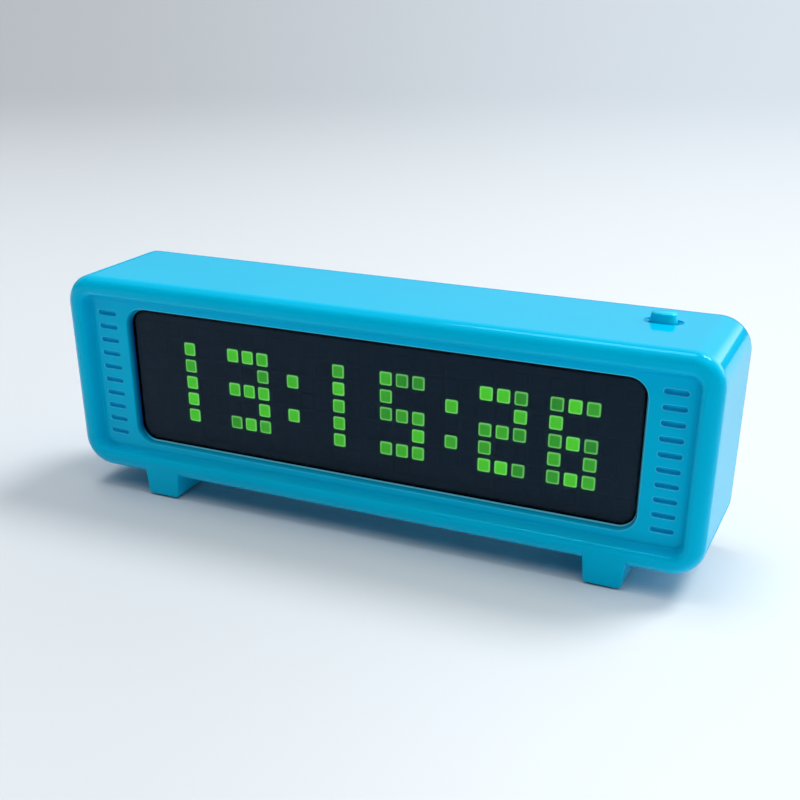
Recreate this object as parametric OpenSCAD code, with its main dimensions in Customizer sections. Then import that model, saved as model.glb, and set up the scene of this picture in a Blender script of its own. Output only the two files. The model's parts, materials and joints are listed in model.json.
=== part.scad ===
// LED pixel desk clock: a glossy moulded housing on two runner feet, a smoked window
// over a grid of light guides, two stacked boards, and a push button in the top.
// Frame: X along the clock, +Y to the rear, +Z up, origin on the table under the middle.

/* [Display] */
// Time that the pixels show
shown_time = "13:15:26"; // ["13:15:26", "08:40:07", "21:59:30"]
// Pixel columns of the display
columns = 31; // [27:2:41]
// Pixel rows of the display
rows = 7; // [5:2:11]
// Column pitch
pitch_x = 4; // [3.4:0.05:5]
// Row pitch
pitch_z = 4.2; // [3.8:0.05:5]
// Width of one light guide tile
tile_w = 3; // [2.2:0.05:3.25]
// Height of one light guide tile
tile_h = 3.3; // [2.4:0.05:3.6]
// Corner radius of a tile
tile_r = 0.45; // [0.1:0.05:1]
// Dark border between the pixels and the window's side edges
border_x = 1.2; // [0.6:0.1:6]
// Dark border between the pixels and the window's top and bottom edges
border_z = 1.95; // [0.6:0.05:6]
// How far the pixels sit below the window's middle
pixel_drop = 0.35; // [0:0.05:0.6]

/* [Housing] */
// From the window's edge to the outer side of the housing
cheek_w = 15.8; // [14.5:0.1:30]
// From the window's edge to the outer top or bottom of the housing
brow_h = 7.8; // [7.4:0.1:20]
// Depth of the housing from front to back
body_d = 31; // [29:0.5:50]
// Wall thickness
wall = 2.2; // [1.6:0.1:2.8]
// Radius of the four long corners
corner_r = 7.3; // [6:0.1:10]
// Rounding of the front edge
front_r = 2.8; // [1:0.1:3.6]
// Rounding of the rear edge
rear_r = 1.4; // [0.4:0.1:1.5]
// Width of the raised rim
rim_w = 4.25; // [3.8:0.05:4.8]
// How far the panel lies behind the rim
recess_d = 3; // [1:0.1:4]
// How far the recess wall leans in on its way to the panel
recess_lean = 1.1; // [0.4:0.1:1.2]
// Rounding of the rim's inner edge
rim_r = 1.4; // [0.3:0.1:2]
// Thickness of the panel
panel_t = 1.8; // [1.6:0.1:4]

/* [Window] */
// Corner radius of the window
window_r = 3.9; // [1.5:0.1:8]
// How far the window's wall leans outward on its way to the front
window_lean = 0.6; // [0.2:0.1:1.2]
// Overlap of the lens behind the panel, on each side
lens_land = 1.4; // [1:0.1:1.8]
// Thickness of the lens
lens_t = 0.8; // [0.6:0.1:3]
// Thickness of the adhesive frame
tape_t = 0.1; // [0.05:0.05:0.4]

/* [Grooves] */
// Blind grooves on each side of the window
groove_count = 10; // [4:1:10]
// Length of a groove
groove_l = 5.1; // [3:0.1:6]
// Width of a groove
groove_w = 1.2; // [0.6:0.1:2]
// Depth of a groove
groove_d = 1; // [0.4:0.1:1.4]
// Pitch of the grooves
groove_pitch = 3.4; // [2.4:0.1:3.5]
// Panel left between a groove's outer end and the recess wall
groove_margin = 1.9; // [0.6:0.1:3]

/* [Feet] */
// Height of the housing's underside above the table
foot_h = 5.5; // [4:0.1:12]
// Distance between the middles of the two feet
foot_span = 113.6; // [80:0.2:125]
// How far the pair of feet sits to the right of the middle
foot_shift = 1.3; // [-4:0.1:4]
// Width of a foot where it meets the housing
foot_top_w = 9.3; // [8:0.1:14]
// Width of a foot at the table
foot_low_w = 8.5; // [7.6:0.1:14]
// Length of a foot from front to back
foot_d = 27; // [18:0.5:29]
// Rounding of a foot's lower edges
foot_r = 0.9; // [0.3:0.1:1.5]
// Fillet between a foot and the housing
foot_root_r = 0.8; // [0.3:0.1:2]
// Width of a foot pad
pad_w = 5; // [3:0.1:5.6]
// How far a pad stays inside the ends of its foot
pad_margin = 2.5; // [1:0.1:5]
// Depth of the pad's seat in the foot
pad_seat = 0.6; // [0.3:0.1:1.5]
// How far a pad stands proud of its foot
pad_proud = 0.4; // [0.2:0.1:1]

/* [Button] */
// From the housing's right side to the button's axis
button_inset = 17.3; // [14:0.1:30]
// From the housing's rear to the button's axis
button_back = 11; // [9.5:0.1:13]
// Length of the cap along the clock
cap_l = 5.9; // [4:0.1:7.5]
// Depth of the cap from front to back
cap_d = 3.6; // [3:0.1:5]
// Height of the cap above the housing
cap_proud = 2; // [1.4:0.1:4]
// Corner radius of the cap
cap_r = 1.5; // [0.5:0.1:1.5]
// Slant of the cap's upper edge
cap_edge = 0.4; // [0.1:0.05:0.8]
// Width of the hollow beside each end of the cap
hollow_end = 1.4; // [0.4:0.1:2.5]
// Width of the hollow before and behind the cap
hollow_side = 0.4; // [0.3:0.05:0.8]
// Depth of the hollow at its middle
hollow_deep = 0.8; // [0.3:0.1:1.2]
// Travel of the button
travel = 1; // [0.4:0.1:1.2]
// Thickness of the flange that keeps the cap in
flange_t = 1; // [0.8:0.1:2]
// How far the flange reaches past the hollow
flange_lip = 1; // [0.6:0.1:1.5]

/* [Boards] */
// Depth of the light guide grid
mask_t = 3.4; // [2.6:0.1:6]
// Thickness of both circuit boards
board_t = 1.6; // [1:0.1:2.4]
// Side of a light emitter
led_w = 2; // [1.2:0.1:2.2]
// Height of a light emitter
led_t = 0.9; // [0.5:0.1:1.2]
// Length of the main board
main_w = 62; // [54:0.5:80]
// Length of the switch along the clock
switch_w = 6; // [5:0.1:7]
// Depth of the switch from front to back
switch_d = 4; // [4:0.1:5]
// Height of the switch
switch_h = 4.6; // [4:0.1:6]
// Radius of the switch plunger
plunger_r = 1.6; // [1:0.1:1.7]
// Radius of the coin cell
cell_r = 6.25; // [5:0.05:6.5]
// Thickness of the coin cell
cell_t = 2; // [1.6:0.1:3]
// Radius of the buzzer
buzzer_r = 5.5; // [4:0.1:6]
// Height of the buzzer
buzzer_h = 3.8; // [2.5:0.1:4]

/* [Cover and fasteners] */
// Thickness of the rear cover
cover_t = 2; // [1.6:0.1:2.4]
// How far the rear cover lies inside the rear edge
cover_inset = 0.6; // [0.5:0.1:1.2]
// Gap between the rear cover and the housing walls
cover_gap = 0.2; // [0.1:0.05:0.4]
// Radius of a cover screw post
post_r = 3.2; // [2.8:0.1:3.6]
// Shank radius of a cover screw
cover_screw_r = 1.4; // [1:0.05:1.6]
// Shank length of a cover screw
cover_screw_l = 10; // [6:0.5:14]
// Shank radius of a board screw
board_screw_r = 0.95; // [0.7:0.05:1.2]
// Length of the power inlet's opening
inlet_w = 8.3; // [7:0.1:10]
// Height of the power inlet's opening
inlet_h = 2.5; // [2:0.1:4]

/* [Hidden] */
$fn = 48;

// Overlap of cutting tools past the faces that they cut
cut = 1;
// Clearance of a screw in a hole that it passes through
screw_gap = 0.25;
// Clearance of a screw in the bore that it holds in
thread_gap = 0.05;
// Clearance of a light guide in its cell
tile_gap = 0.05;
// Clearance between stacked layers that don't press on each other
layer_gap = 0.05;
// Clearance of a piece that slides
slide_gap = 0.2;
// Clearance of a plug's pin in its socket
pin_gap = 0.1;
// Clearance between neighbours on a board
part_gap = 0.8;
// Bare edge round the components on a board
board_edge = 1;

// Overall sizes
window_w = columns * pitch_x + 2 * border_x;
window_h = rows * pitch_z + 2 * border_z;
body_l = window_w + 2 * cheek_w;
body_h = window_h + 2 * brow_h;
front_y = -body_d / 2;
mid_z = foot_h + body_h / 2;
top_z = foot_h + body_h;
roof_z = top_z - wall;

// Layers from the front, as depths behind the rim
panel_back = recess_d + panel_t;
lens_front = panel_back + tape_t;
lens_back = lens_front + lens_t;
mask_front = lens_back + layer_gap;
led_front = mask_front + mask_t;
led_back = led_front + board_t;
button_depth = body_d - button_back;
main_front = button_depth + switch_d / 2;
main_back = main_front + board_t;
cover_face = body_d - cover_inset;
cover_back = cover_face - cover_t;
standoff_l = main_front - led_back;

// Window stack
lens_w = window_w + 2 * lens_land;
lens_h = window_h + 2 * lens_land;
lens_r = window_r + lens_land;
mask_margin = 0.2;
mask_w = lens_w - 2 * mask_margin;
mask_h = lens_h - 2 * mask_margin;

// Light emitter board and its bosses, outside the lens
boss_r = 2.2;
boss_gap = 0.4;
boss_x = lens_w / 2 + boss_gap + boss_r;
led_board_w = 2 * (boss_x + boss_r);
led_board_h = rows * pitch_z;
boss_z = led_board_h / 2 - boss_r;
// Solid panel left under a board screw's bore
bore_floor = 0.4;

// Rear cover and its screws
cover_w = body_l - 2 * (wall + cover_gap);
cover_h = body_h - 2 * (wall + cover_gap);
cover_r = corner_r - wall - cover_gap;
// Plate left under a screw's head, and how far the head stands proud of the cover
head_floor = 0.8;
head_proud = 0.3;
counterbore_d = cover_t - head_floor;
cover_head_r = 2 * cover_screw_r;
cover_head_t = counterbore_d + head_proud;
cover_seat = cover_face - counterbore_d;
// Spare depth of a post's bore beyond the screw's tip
bore_spare = 0.4;

// Cover posts, out from the corner centres as far as the screw heads stay inside the cover's edge
cover_rim = 0.9;
post_inset = corner_r - max(0, cover_r - cover_head_r - screw_gap - cover_rim) / sqrt(2);
post_x = body_l / 2 - post_inset;
post_z = body_h / 2 - post_inset;

// Button, flange, stem and switch, from the roof down
button_x = body_l / 2 - button_inset;
button_y = front_y + button_depth;
hollow_l = cap_l + 2 * hollow_end;
hollow_d = cap_d + 2 * hollow_side;
// Radius of the scoop that meets the roof at both ends of the hollow
scoop_r = (pow(hollow_l / 2, 2) + pow(hollow_deep, 2)) / (2 * hollow_deep);
flange_l = hollow_l + 2 * flange_lip;
flange_d = hollow_d + 2 * flange_lip;
flange_z = roof_z - slide_gap - flange_t;
stem_r = plunger_r - slide_gap;
stem_l = 0.7;
plunger_top = flange_z - stem_l;
switch_top = plunger_top - travel - slide_gap;
plunger_seat = 0.6;
plunger_low = switch_top - plunger_seat;
guide_t = 1;
guide_h = flange_t + travel + slide_gap;

// Main board, hung behind the light emitter board on standoffs
// Board beyond the switch, and how far the switch stands above the board's top edge
switch_margin = 2.5;
switch_rise = 1;
main_x = button_x + switch_w / 2 + switch_margin - main_w / 2;
main_h = 2 * (switch_top - switch_rise - mid_z);
standoff_r = 2.2;
standoff_inset = 5;
// The right-hand pair of standoffs stands further in, clear of the switch
standoff_shift = 8;
standoff_x = main_w / 2 - standoff_inset;
standoff_right = standoff_x - standoff_shift;
standoff_z = led_board_h / 2 - standoff_r - board_edge;
// Half height of the band between the standoffs, where the components stand
band_z = standoff_z - standoff_r - part_gap;
board_head_r = 2 * board_screw_r;
board_head_t = 1.2;
board_screw_l = 5;

// Plugs between the boards
pin_count = 5;
pin_pitch = 2.54;
pin_w = 0.64;
header_l = pin_count * pin_pitch;
header_h = 2 * pin_pitch;
header_base = 2.5;
socket_l = standoff_l - header_base;
pin_reach = 5;

// Power inlet behind the main board, beside the left-hand standoff screws
inlet_wall = 0.35;
inlet_gap = 0.3;
inlet_floor = 0.5;
// How far the inlet's mouth lies inside the cover's face, and its middle above the board's lower edge
inlet_set = 0.3;
inlet_rise = 6;
// Room between the inlet and the standoff screw beside it
inlet_clear = 3;
inlet_outer_w = inlet_w + 2 * inlet_wall;
inlet_outer_h = inlet_h + 2 * inlet_wall;
inlet_l = cover_face - main_back - inlet_set;
inlet_x = main_x - standoff_x + board_head_r + inlet_clear + inlet_outer_w / 2;
inlet_z = mid_z - main_h / 2 + inlet_rise;
tongue_t = 0.7;
tongue_set = 0.8;
tongue_margin = 1;

// Sizes of the small components, each [along X, along Z, height]
driver_size = [10, 6, 1.6];
driver_count = 4;
driver_z = band_z - driver_size[1] / 2;
chip_size = [9, 9, 1.4];
crystal_size = [10.2, 3.8, 3.4];
can_r = 3.15;
can_h = 5.4;
can_step = 8;
holder_rim = 1.2;
holder_base = 1;
holder_r = cell_r + tile_gap + holder_rim;

// Places of the components on the main board, in a row that spreads over its length
row_gap = (main_w - 2 * (board_edge + holder_r + can_r) - header_l - crystal_size[0]) / 3;
cell_at = -main_w / 2 + board_edge + holder_r;
can_at = cell_at + holder_r + row_gap + can_r;
header_at = can_at + can_r + row_gap + header_l / 2;
crystal_at = header_at + header_l / 2 + row_gap + crystal_size[0] / 2;
header_z = band_z - header_h / 2;
chip_z = header_z - header_h / 2 - part_gap - chip_size[1] / 2;

// Sound slots in the rear cover, behind the buzzer
buzzer_hole_r = 1;
grille_count = 5;
grille_pitch = 2.6;
grille_l = 9;
grille_w = 1.2;

// Colours
blue = [0.07, 0.62, 0.8];
smoke = [0.05, 0.07, 0.1, 0.6];
lit_green = [0.25, 0.75, 0.25];
dark_tile = [0.08, 0.12, 0.12];
black = [0.06, 0.06, 0.07];
board_green = [0.05, 0.3, 0.18];
white = [0.92, 0.92, 0.88];
steel = [0.72, 0.73, 0.75];
gold = [0.85, 0.68, 0.3];

// Pixel digits, three columns by five rows, and the narrow colon
glyph_rows = 5;
glyph_names = "0123456789:";
glyphs = [
    ["###", "#.#", "#.#", "#.#", "###"],
    [".#.", ".#.", ".#.", ".#.", ".#."],
    ["###", "..#", "###", "#..", "###"],
    ["###", "..#", "###", "..#", "###"],
    ["#.#", "#.#", "###", "..#", "..#"],
    ["###", "#..", "###", "..#", "###"],
    ["###", "#..", "###", "#.#", "###"],
    ["###", "..#", "..#", "..#", "..#"],
    ["###", "#.#", "###", "#.#", "###"],
    ["###", "#.#", "###", "..#", "###"],
    [".", "#", ".", "#", "."]
];
function glyph(i) = glyphs[search(shown_time[i], glyph_names)[0]];
function glyph_w(i) = len(glyph(i)[0]);
// First column of a character, counted from the start of the time, with one column between
function glyph_start(i) = i == 0 ? 0 : glyph_start(i - 1) + glyph_w(i - 1) + 1;
text_w = glyph_start(len(shown_time) - 1) + glyph_w(len(shown_time) - 1);
text_col = floor((columns - text_w) / 2);
text_row = floor((rows - glyph_rows) / 2);
// Cells of the grid that the time lights, as [column, row] from the top left
lit_cells = [
    for (i = [0 : len(shown_time) - 1], c = [0 : glyph_w(i) - 1], r = [0 : glyph_rows - 1])
        if (glyph(i)[r][c] == "#") [text_col + glyph_start(i) + c, text_row + r]
];
function is_lit(c, r) = len([for (cell = lit_cells) if (cell == [c, r]) cell]) > 0;
function cell_x(c) = (c - (columns - 1) / 2) * pitch_x;
function cell_z(r) = mid_z - pixel_drop - (r - (rows - 1) / 2) * pitch_z;

// Outline with rounded corners, about the origin
module rounded_rect(w, h, r) {
    square([w - 2 * r, h], center = true);
    square([w, h - 2 * r], center = true);
    for (x = [-1, 1], y = [-1, 1])
        translate([x * (w / 2 - r), y * (h / 2 - r)]) circle(r);
}

// Slot outline with round ends, about the origin, along X
module slot_outline(l, w) {
    square([l - w, w], center = true);
    for (x = [-1, 1]) translate([x * (l - w) / 2, 0]) circle(w / 2);
}

// Stands what is drawn flat on its edge: drawn X stays X, drawn Z becomes depth from the rim
module upright(depth, x = 0, z = mid_z) {
    translate([x, front_y + depth, z]) rotate([-90, 0, 0]) children();
}

module plate(w, h, r, t, depth, x = 0, z = mid_z) {
    upright(depth, x, z) linear_extrude(t) rounded_rect(w, h, r);
}

module slot_bar(l, w, t, depth, x, z) {
    upright(depth, x, z) linear_extrude(t) slot_outline(l, w);
}

module block(size, depth, x = 0, z = 0) {
    upright(depth, x, z) translate([-size[0] / 2, -size[1] / 2, 0]) cube(size);
}

module rod(r, l, depth, x = 0, z = 0) {
    upright(depth, x, z) cylinder(h = l, r = r);
}

// Carries a profile, drawn as [outward, depth], round a rectangle of corner centres
module sweep_frame(half_x, half_y) {
    for (k = [0 : 3]) {
        along = k % 2 == 0 ? half_x : half_y;
        across = k % 2 == 0 ? half_y : half_x;
        rotate([0, 0, 90 * k]) {
            translate([-along, across, 0]) rotate([90, 0, 90]) linear_extrude(2 * along) children();
            translate([along, across, 0]) rotate_extrude(angle = 90) children();
        }
    }
}

// What a rounded edge takes off a square corner; the corner is at the origin, the wall beyond it
module edge_cut(r) {
    difference() {
        translate([-r, -cut]) square([r + cut, r + cut]);
        translate([-r, r]) circle(r);
    }
}

// Lean of the recess wall, and the run of the rim's inner rounding along each face that it joins
recess_turn = atan2(recess_lean, recess_d);
rim_run = min(rim_r / tan(45 + recess_turn / 2), rim_w - front_r);
rim_round_r = rim_run * tan(45 + recess_turn / 2);

// What the rounding takes off the rim's inner edge, which is at the origin
module rim_cut() {
    reach = rim_round_r + cut;
    difference() {
        translate([rim_run, rim_round_r]) polygon([
            [0, 0], [0, -reach], [-reach, -reach], [-reach * cos(recess_turn), -reach * sin(recess_turn)]
        ]);
        translate([rim_run, rim_round_r]) circle(rim_round_r);
    }
}

// Section of the wall, rim and panel edge, outward from the corner centres and back from the rim
module wall_section() {
    difference() {
        square([corner_r, body_d]);
        translate([-cut, panel_back]) square([corner_r - wall + cut, body_d]);
        polygon([
            [-cut, -cut], [corner_r - rim_w, -cut], [corner_r - rim_w, 0],
            [corner_r - rim_w - recess_lean, recess_d], [-cut, recess_d]
        ]);
        translate([corner_r - rim_w, 0]) rim_cut();
        translate([corner_r, 0]) edge_cut(front_r);
        translate([corner_r, body_d]) mirror([0, 1]) edge_cut(rear_r);
    }
}

module shell() {
    core_x = body_l / 2 - corner_r;
    core_z = body_h / 2 - corner_r;
    upright(0) sweep_frame(core_x, core_z) wall_section();
    block([2 * core_x, 2 * core_z, panel_t], recess_d, 0, mid_z);
}

// Window through the panel, wider at the front than at the lens
module window_cut() {
    wide_r = window_r + window_lean * (1 + cut / panel_t);
    plate(window_w, window_h, window_r, panel_t + 2 * cut, recess_d - cut);
    upright(0) sweep_frame(window_w / 2 - window_r, window_h / 2 - window_r)
        polygon([
            [window_r / 2, recess_d - cut], [wide_r, recess_d - cut], [window_r, panel_back],
            [window_r / 2, panel_back]
        ]);
}

// Blind grooves in a column on each side of the window
module groove_cuts() {
    middle = body_l / 2 - rim_w - recess_lean - groove_margin - groove_l / 2;
    for (side = [-1, 1], i = [0 : groove_count - 1])
        slot_bar(groove_l, groove_w, groove_d + cut, recess_d - cut,
            side * middle, mid_z + (i - (groove_count - 1) / 2) * groove_pitch);
}

// Lean of a foot's sides, and half the angle at its lower edges and roots
foot_lean = atan2((foot_top_w - foot_low_w) / 2, foot_h - pad_proud);
foot_half_turn = (90 + foot_lean) / 2;

// One foot, drawn as [X, Z] with the table at zero: leaning sides and round lower edges
module foot_section() {
    low = pad_proud;
    toe = foot_r / tan(foot_half_turn);
    for (side = [0, 1]) mirror([side, 0]) {
        polygon([
            [0, low], [foot_low_w / 2 - toe, low],
            [foot_low_w / 2 + toe * sin(foot_lean), low + toe * cos(foot_lean)],
            [foot_top_w / 2, foot_h], [foot_top_w / 2, foot_h + wall / 2], [0, foot_h + wall / 2]
        ]);
        translate([foot_low_w / 2 - toe, low + foot_r]) circle(foot_r);
    }
}

// Fillets between a foot's sides and the housing's underside, drawn as [X, Z]
module foot_roots() {
    reach = foot_root_r / tan(foot_half_turn);
    for (side = [0, 1]) mirror([side, 0]) difference() {
        polygon([
            [foot_top_w / 2, foot_h], [foot_top_w / 2 + reach, foot_h],
            [foot_top_w / 2 + reach, foot_h - foot_root_r],
            [foot_top_w / 2 - reach * sin(foot_lean), foot_h - reach * cos(foot_lean)]
        ]);
        translate([foot_top_w / 2 + reach, foot_h - foot_root_r]) circle(foot_root_r);
    }
}

module foot(x) {
    translate([x, front_y + foot_d, 0]) rotate([90, 0, 0]) {
        linear_extrude(foot_d) foot_section();
        linear_extrude(foot_d - front_r) foot_roots();
    }
    // Carries the rim's face straight down past the rounded front edge
    translate([x - foot_top_w / 2, front_y, foot_h]) cube([foot_top_w, front_r, front_r]);
}

module at_feet() {
    for (side = [-1, 1]) translate([foot_shift + side * foot_span / 2, 0, 0]) children();
}

module pad_outline(gap) {
    length = foot_d - 2 * pad_margin;
    translate([0, front_y + foot_d / 2]) rotate(90) slot_outline(length + 2 * gap, pad_w + 2 * gap);
}

// Upright walls under the roof that guide the two ends of the button's flange
module button_guides() {
    for (side = [-1, 1])
        translate([
            button_x + side * (flange_l / 2 + slide_gap + guide_t / 2) - guide_t / 2,
            button_y - flange_d / 2,
            roof_z - guide_h
        ]) cube([guide_t, flange_d, guide_h + wall / 2]);
}

module button_outline(l, d, r) {
    translate([button_x, button_y]) rounded_rect(l, d, r);
}

// Oval hollow round the cap, scooped along the clock
module button_hollow() {
    translate([button_x, button_y, top_z]) intersection() {
        translate([0, 0, scoop_r - hollow_deep]) rotate([90, 0, 0])
            cylinder(h = hollow_d + 2 * cut, r = scoop_r, center = true);
        translate([0, 0, -hollow_deep - cut]) linear_extrude(hollow_deep + 2 * cut)
            slot_outline(hollow_l, hollow_d);
    }
}

// Puts its children at the four cover posts
module at_posts() {
    for (x = [-1, 1], z = [-1, 1]) translate([x * post_x, 0, mid_z + z * post_z]) children();
}

// Puts its children at the four bosses of the light emitter board
module at_bosses() {
    for (x = [-1, 1], z = [-1, 1]) translate([x * boss_x, 0, mid_z + z * boss_z]) children();
}

module front_housing() {
    color(blue) difference() {
        union() {
            shell();
            at_posts() rod(post_r, cover_back - panel_back, panel_back);
            at_bosses() rod(boss_r, led_front - panel_back, panel_back);
            button_guides();
            foot(foot_shift - foot_span / 2);
            foot(foot_shift + foot_span / 2);
        }
        window_cut();
        groove_cuts();
        button_hollow();
        translate([0, 0, roof_z - cut]) linear_extrude(wall + 2 * cut)
            button_outline(cap_l + 2 * slide_gap, cap_d + 2 * slide_gap, cap_r + slide_gap);
        at_posts() rod(cover_screw_r + thread_gap, cover_screw_l + bore_spare,
            cover_seat - cover_screw_l - bore_spare);
        at_bosses() rod(board_screw_r + thread_gap, led_front - panel_back, panel_back + bore_floor);
        at_feet() translate([0, 0, pad_proud - cut]) linear_extrude(cut + pad_seat) pad_outline(layer_gap);
    }
}

module foot_pads() {
    color(black) at_feet() linear_extrude(pad_proud + pad_seat) pad_outline(0);
}

module rear_cover() {
    color(blue) difference() {
        plate(cover_w, cover_h, cover_r, cover_t, cover_back);
        at_posts() rod(cover_screw_r + screw_gap, cover_t + 2 * cut, cover_back - cut);
        at_posts() rod(cover_head_r + screw_gap, counterbore_d + cut, cover_seat);
        slot_bar(inlet_outer_w + 2 * inlet_gap, inlet_outer_h + 2 * inlet_gap, cover_t + 2 * cut,
            cover_back - cut, inlet_x, inlet_z);
        for (i = [0 : grille_count - 1])
            slot_bar(grille_l, grille_w, cover_t + 2 * cut, cover_back - cut, main_x + standoff_right,
                mid_z + (i - (grille_count - 1) / 2) * grille_pitch);
    }
}

// Length and width of the cross in a screw's head, as shares of the head's radius
cross_span = 1.3;
cross_width = 0.35;

// Screw with its head towards the rear and a cross in the head
module screw(shank_r, shank_l, head_r, head_t, depth) {
    cross = [head_r * cross_span, head_r * cross_width, head_t];
    difference() {
        union() {
            rod(shank_r, shank_l, depth - shank_l);
            rod(head_r, head_t, depth);
        }
        block(cross, depth + head_t / 2);
        block([cross[1], cross[0], cross[2]], depth + head_t / 2);
    }
}

module cover_screws() {
    color(steel) at_posts() screw(cover_screw_r, cover_screw_l, cover_head_r, cover_head_t, cover_seat);
}

module window_lens() {
    color(smoke) plate(lens_w, lens_h, lens_r, lens_t, lens_front);
}

module lens_tape() {
    color(black) difference() {
        plate(lens_w, lens_h, lens_r, tape_t, panel_back);
        plate(window_w + lens_land, window_h + lens_land, window_r + lens_land / 2, tape_t + 2 * cut,
            panel_back - cut);
    }
}

module pixel_mask() {
    cell = [tile_w + 2 * tile_gap, tile_h + 2 * tile_gap, mask_t + 2 * cut];
    color(black) difference() {
        plate(mask_w, mask_h, lens_r - mask_margin, mask_t, mask_front);
        for (c = [0 : columns - 1], r = [0 : rows - 1]) block(cell, mask_front - cut, cell_x(c), cell_z(r));
    }
}

// Light guides of the cells that are lit, or of those that are dark
module tiles(lit) {
    tile_l = mask_t - led_t - 2 * layer_gap;
    for (c = [0 : columns - 1], r = [0 : rows - 1])
        if (is_lit(c, r) == lit)
            plate(tile_w, tile_h, tile_r, tile_l, mask_front + layer_gap, cell_x(c), cell_z(r));
}

module lit_pixel_tiles() { color(lit_green) tiles(true); }

module dark_pixel_tiles() { color(dark_tile) tiles(false); }

module led_emitters() {
    color(white) for (c = [0 : columns - 1], r = [0 : rows - 1])
        block([led_w, led_w, led_t], led_front - led_t, cell_x(c), cell_z(r));
}

module led_board() {
    color(board_green) difference() {
        plate(led_board_w, led_board_h, boss_r, board_t, led_front);
        at_bosses() rod(board_screw_r + screw_gap, board_t + 2 * cut, led_front - cut);
    }
}

module led_drivers() {
    color(black) for (i = [0 : driver_count - 1])
        block(driver_size, led_back, (i - (driver_count - 1) / 2) * led_board_w / driver_count,
            mid_z - driver_z);
}

module led_board_screws() {
    color(steel) at_bosses() screw(board_screw_r, board_screw_l, board_head_r, board_head_t, led_back);
}

// Puts its children at the main board's four standoffs
module at_standoffs() {
    for (x = [-standoff_x, standoff_right], z = [-standoff_z, standoff_z])
        translate([main_x + x, 0, mid_z + z]) children();
}

module board_standoffs() {
    color(gold) at_standoffs() difference() {
        upright(led_back, 0, 0) cylinder(h = standoff_l, r = standoff_r, $fn = 6);
        rod(board_screw_r + thread_gap, board_screw_l + cut, main_front - board_screw_l);
    }
}

module main_board() {
    color(board_green) difference() {
        block([main_w, main_h, board_t], main_front, main_x, mid_z);
        at_standoffs() rod(board_screw_r + screw_gap, board_t + 2 * cut, main_front - cut);
    }
}

module main_board_screws() {
    color(steel) at_standoffs() screw(board_screw_r, board_screw_l, board_head_r, board_head_t, main_back);
}

// Puts its children at the pins of the plug between the boards
module at_pins() {
    for (i = [0 : pin_count - 1], z = [-0.5, 0.5])
        translate([
            main_x + header_at + (i - (pin_count - 1) / 2) * pin_pitch, 0,
            mid_z + header_z + z * pin_pitch
        ]) children();
}

module header_socket() {
    color(black) difference() {
        block([header_l, header_h, socket_l], led_back, main_x + header_at, mid_z + header_z);
        at_pins() block([pin_w + 2 * pin_gap, pin_w + 2 * pin_gap, pin_reach + 2 * cut],
            led_back + socket_l - pin_reach - cut);
    }
}

module pin_header() {
    color(black) difference() {
        block([header_l, header_h, header_base], main_front - header_base, main_x + header_at,
            mid_z + header_z);
        at_pins() block([pin_w + 2 * tile_gap, pin_w + 2 * tile_gap, header_base + 2 * cut],
            main_front - header_base - cut);
    }
}

module header_pins() {
    color(gold) at_pins()
        block([pin_w, pin_w, header_base + pin_reach], main_front - header_base - pin_reach);
}

module microcontroller() {
    color(black) block(chip_size, main_front - chip_size[2], main_x + header_at, mid_z + chip_z);
}

module clock_crystal() {
    color(steel) slot_bar(crystal_size[0], crystal_size[1], crystal_size[2], main_front - crystal_size[2],
        main_x + crystal_at, mid_z);
}

module capacitors() {
    color(steel) for (z = [-0.5, 0.5])
        rod(can_r, can_h, main_front - can_h, main_x + can_at, mid_z + z * can_step);
}

// Cup that holds the coin cell, open towards the front
module cell_holder() {
    depth = holder_base + cell_t;
    color(black) difference() {
        rod(holder_r, depth, main_front - depth, main_x + cell_at, mid_z);
        rod(cell_r + tile_gap, cell_t + cut, main_front - depth - cut, main_x + cell_at, mid_z);
    }
}

module coin_cell() {
    color(steel) rod(cell_r, cell_t, main_front - holder_base - cell_t, main_x + cell_at, mid_z);
}

module buzzer() {
    color(black) difference() {
        rod(buzzer_r, buzzer_h, main_back, main_x + standoff_right, mid_z);
        rod(buzzer_hole_r, 2 * cut, main_back + buzzer_h - cut, main_x + standoff_right, mid_z);
    }
}

module usb_shell() {
    color(steel) difference() {
        slot_bar(inlet_outer_w, inlet_outer_h, inlet_l, main_back, inlet_x, inlet_z);
        slot_bar(inlet_w, inlet_h, inlet_l, main_back + inlet_floor, inlet_x, inlet_z);
    }
}

module usb_tongue() {
    color(black) block([inlet_w - 2 * tongue_margin, tongue_t, inlet_l - inlet_floor - tongue_set],
        main_back + inlet_floor, inlet_x, inlet_z);
}

module switch_body() {
    color(black) difference() {
        translate([button_x - switch_w / 2, button_y - switch_d / 2, switch_top - switch_h])
            cube([switch_w, switch_d, switch_h]);
        translate([button_x, button_y, plunger_low - travel - slide_gap])
            cylinder(h = switch_h, r = plunger_r + slide_gap);
    }
}

module switch_plunger() {
    color(white) translate([button_x, button_y, plunger_low])
        cylinder(h = plunger_top - plunger_low - layer_gap, r = plunger_r);
}

module top_button() {
    cap_low = flange_z + flange_t;
    cap_top = top_z + cap_proud;
    color(blue) union() {
        translate([button_x, button_y, plunger_top]) cylinder(h = stem_l, r = stem_r);
        translate([0, 0, flange_z]) linear_extrude(flange_t) button_outline(flange_l, flange_d, cap_r);
        translate([0, 0, cap_low]) linear_extrude(cap_top - cap_low - cap_edge)
            button_outline(cap_l, cap_d, cap_r);
        translate([0, 0, cap_top - cap_edge]) linear_extrude(cap_edge)
            button_outline(cap_l - 2 * cap_edge, cap_d - 2 * cap_edge, cap_r - cap_edge);
    }
}

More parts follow.
